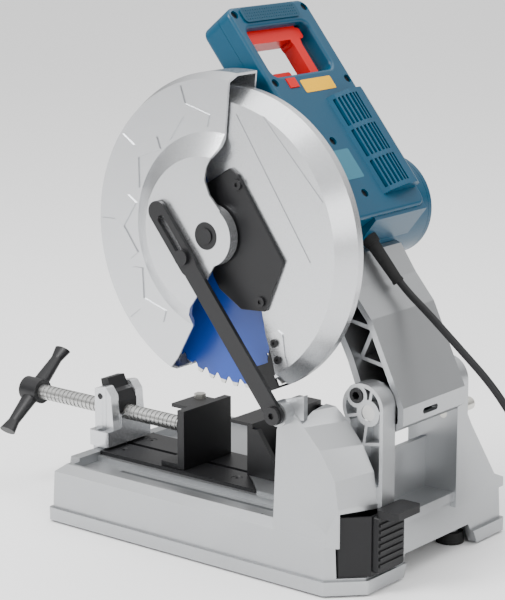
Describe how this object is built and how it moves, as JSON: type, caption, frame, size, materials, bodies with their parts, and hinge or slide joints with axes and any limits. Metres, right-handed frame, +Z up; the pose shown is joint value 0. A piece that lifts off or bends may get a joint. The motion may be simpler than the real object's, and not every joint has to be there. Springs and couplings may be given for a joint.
{
  "type": "metal cutting chop saw",
  "caption": "bench chop saw for metal with a toothed circular blade, retracting link-driven guard, screw vise, swivel fence and D-handle",
  "frame": {"origin": "centre of the bench bolt pattern, on the bench surface under the middle of the base", "axes": "+X to the operator's right, the blade side; +Y to the rear; +Z up"},
  "size_m": [0.3487, 0.729, 0.5594],
  "materials": {
    "cast_grey": "satin painted aluminium casting",
    "guard_silver": "smooth silver paint",
    "petrol": "moulded nylon, semi-gloss",
    "black_plastic": "grained black plastic",
    "red_plastic": "red switch plastic",
    "black_steel": "black powder coat",
    "zinc": "zinc plated",
    "steel": "machined steel",
    "blade_blue": "blue coated saw steel",
    "rubber": "black rubber",
    "copper": "copper and brass",
    "label_yellow": "yellow vinyl label without text",
    "label_pale": "pale vinyl label without text",
    "grip_petrol": "soft dotted grip",
    "cord_black": "black rubber sheath"
  },
  "bodies": {
    "base": {"base_casting": "cast_grey", "rail_near": "black_steel", "rail_far": "black_steel", "rail_screws": "black_steel", "rubber_feet": "rubber", "vise_nut_bracket": "guard_silver", "hinge_pin": "steel", "stop_screw": "black_steel", "link_pivot_screw": "black_steel", "fence_bolt": "zinc", "cord_lower": "cord_black", "cord_coil": "cord_black", "plug": "black_plastic"},
    "fence": {"fence": "black_steel"},
    "transport_lock": {"transport_lock_pin": "zinc"},
    "drawer": {"chip_drawer": "black_plastic", "chip_drawer_handle": "black_plastic"},
    "link": {"link_bar": "black_steel", "guard_slot_pin": "black_steel"},
    "nut_lever": {"half_nut_lever": "black_plastic"},
    "screw": {"vise_screw": "steel", "tee_handle": "black_steel"},
    "jaw": {"vise_jaw": "black_steel", "jaw_bolt": "zinc"},
    "head": {"arm_casting": "cast_grey", "fixed_guard": "guard_silver", "guard_cover": "black_steel", "cover_screws": "black_steel", "chip_deflector": "black_plastic", "deflector_screws": "black_steel", "motor_housing": "petrol", "motor_end_cap": "petrol", "handle_lower_shell": "petrol", "grip_pad": "grip_petrol", "housing_screws": "black_steel", "strain_relief": "rubber", "stator": "copper", "switch_block": "black_plastic", "bearings": "steel", "brush_holders": "copper", "guard_pivot_cap": "black_steel", "cord_upper": "cord_black", "label_warning": "label_yellow", "label_rating": "label_pale"},
    "trigger": {"trigger": "red_plastic"},
    "lock_off": {"lock_off_button": "red_plastic"},
    "rocker": {"light_rocker": "red_plastic"},
    "spindle_lock": {"spindle_lock_button": "black_plastic"},
    "spindle": {"spindle_shaft": "steel", "drive_gear": "steel", "inner_flange": "steel", "saw_blade": "blade_blue", "outer_flange": "steel", "arbor_bolt": "black_steel"},
    "armature": {"armature_shaft": "steel", "armature_core": "steel", "commutator": "copper", "cooling_fan": "black_plastic"},
    "guard": {"moving_guard": "guard_silver"}
  },
  "joints": [
    {"name": "head_pivot", "type": "hinge", "parent": "base", "child": "head", "pos_m": [0, 0.1849, 0.1797], "axis": [1, 0, 0], "range_deg": [0, 35], "stiffness_Nm_per_rad": 28, "springref_deg": -63.03},
    {"name": "link_swing", "type": "hinge", "parent": "base", "child": "link", "pos_m": [0.141, 0.112, 0.177], "axis": [1, 0, 0], "range_deg": [0, 45]},
    {"name": "guard_swing", "type": "hinge", "parent": "head", "child": "guard", "pos_m": [0.13, 0.0213, 0.3435], "axis": [1, 0, 0], "range_deg": [-44, 0]},
    {"name": "spindle_spin", "type": "hinge", "parent": "head", "child": "spindle", "pos_m": [0.095, 0.023, 0.3335], "axis": [1, 0, 0], "continuous": true},
    {"name": "armature_spin", "type": "hinge", "parent": "head", "child": "armature", "pos_m": [0, 0.0769, 0.3488], "axis": [1, 0, 0], "continuous": true},
    {"name": "jaw_slide", "type": "slide", "parent": "base", "child": "jaw", "axis": [0, 1, 0], "range_m": [-0.06, 0.038]},
    {"name": "screw_turn", "type": "hinge", "parent": "jaw", "child": "screw", "pos_m": [0.036, -0.2, 0.104], "axis": [0, 1, 0], "range_deg": [-5400, 3420]},
    {"name": "fence_swivel", "type": "hinge", "parent": "base", "child": "fence", "pos_m": [-0.04, 0.022, 0.07], "axis": [0, 0, 1], "range_deg": [0, 45]},
    {"name": "nut_lever_tilt", "type": "hinge", "parent": "base", "child": "nut_lever", "pos_m": [0.036, -0.196, 0.124], "axis": [1, 0, 0], "range_deg": [0, 55]},
    {"name": "transport_lock_slide", "type": "slide", "parent": "base", "child": "transport_lock", "axis": [1, 0, 0], "range_m": [0, 0.01]},
    {"name": "drawer_slide", "type": "slide", "parent": "base", "child": "drawer", "axis": [0, 1, 0], "range_m": [0, 0.08]},
    {"name": "trigger_pull", "type": "slide", "parent": "head", "child": "trigger", "axis": [0, -0.6293, 0.7771], "range_m": [0, 0.0045], "stiffness_N_per_m": 1500, "springref_m": -0.002},
    {"name": "lock_off_press", "type": "slide", "parent": "head", "child": "lock_off", "axis": [0, 0.6293, -0.7771], "range_m": [0, 0.0025], "stiffness_N_per_m": 800, "springref_m": -0.002},
    {"name": "rocker_tilt", "type": "hinge", "parent": "head", "child": "rocker", "pos_m": [0.037, 0.04745, 0.48528], "axis": [0, 0.6293, -0.7771], "range_deg": [-5, 5]},
    {"name": "spindle_lock_press", "type": "slide", "parent": "head", "child": "spindle_lock", "axis": [0, 1, 0], "range_m": [0, 0.002], "stiffness_N_per_m": 800, "springref_m": -0.002}
  ],
  "couplings": [
    {"joint": "guard_swing", "follows": "head_pivot", "ratio": -1.25},
    {"joint": "link_swing", "follows": "head_pivot", "ratio": 1.26},
    {"joint": "armature_spin", "follows": "spindle_spin", "ratio": -6},
    {"joint": "jaw_slide", "follows": "screw_turn", "m_per_rad": 0.0006366}
  ]
}
